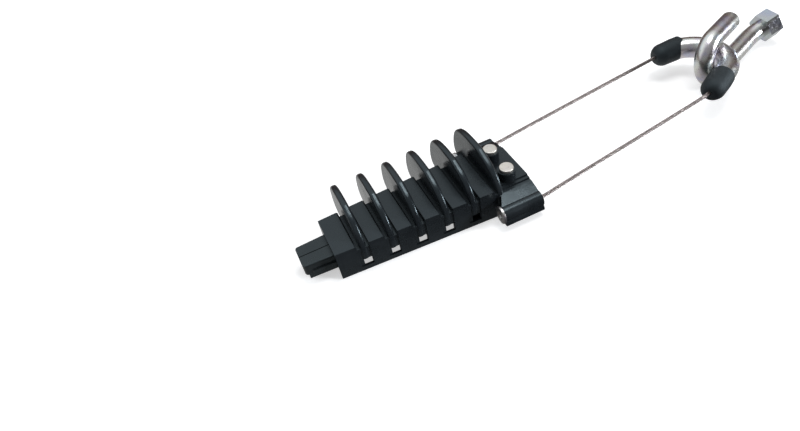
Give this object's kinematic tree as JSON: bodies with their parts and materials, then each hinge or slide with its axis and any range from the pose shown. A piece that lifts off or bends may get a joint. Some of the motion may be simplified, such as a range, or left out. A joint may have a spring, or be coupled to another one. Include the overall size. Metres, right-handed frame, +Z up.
{
  "type": "insulated strain clamp",
  "caption": "Ribbed black plastic wedge strain clamp for an overhead service cable, with a wire-rope bail, bent steel thimble tube and a zinc-plated hook.",
  "frame": {"origin": "centre of the cable bore at the front face of the jaws", "axes": "+X along the cable from the nose to the hook, +Z up from the surface the clamp lies on"},
  "size_m": [0.5394, 0.1147, 0.0581],
  "materials": {
    "body plastic": "satin",
    "jaw plastic": "satin",
    "pin steel": "satin",
    "ferrule metal": "satin",
    "rope steel": "satin",
    "plated steel": "bright zinc plate",
    "boot rubber": "satin"
  },
  "bodies": {
    "body": {"housing": "body plastic", "keeper_plate": "body plastic", "pin_near": "pin steel", "pin_far": "pin steel", "ferrule_near": "ferrule metal", "ferrule_far": "ferrule metal", "bail_rope": "rope steel", "thimble_tube": "plated steel", "boot_near": "boot rubber", "boot_far": "boot rubber", "hook": "plated steel", "hook_nut": "plated steel"},
    "near jaw": {"jaw_near": "jaw plastic"},
    "far jaw": {"jaw_far": "jaw plastic"}
  },
  "joints": [
    {"name": "near jaw slide", "type": "slide", "parent": "body", "child": "near jaw", "axis": [0.9988, -0.0488, 0], "range_m": [-0.006, 0.03]},
    {"name": "far jaw slide", "type": "slide", "parent": "body", "child": "far jaw", "axis": [0.9988, 0.0488, 0], "range_m": [-0.006, 0.03]}
  ],
  "couplings": [
    {"joint": "far jaw slide", "follows": "near jaw slide", "ratio": 1}
  ]
}
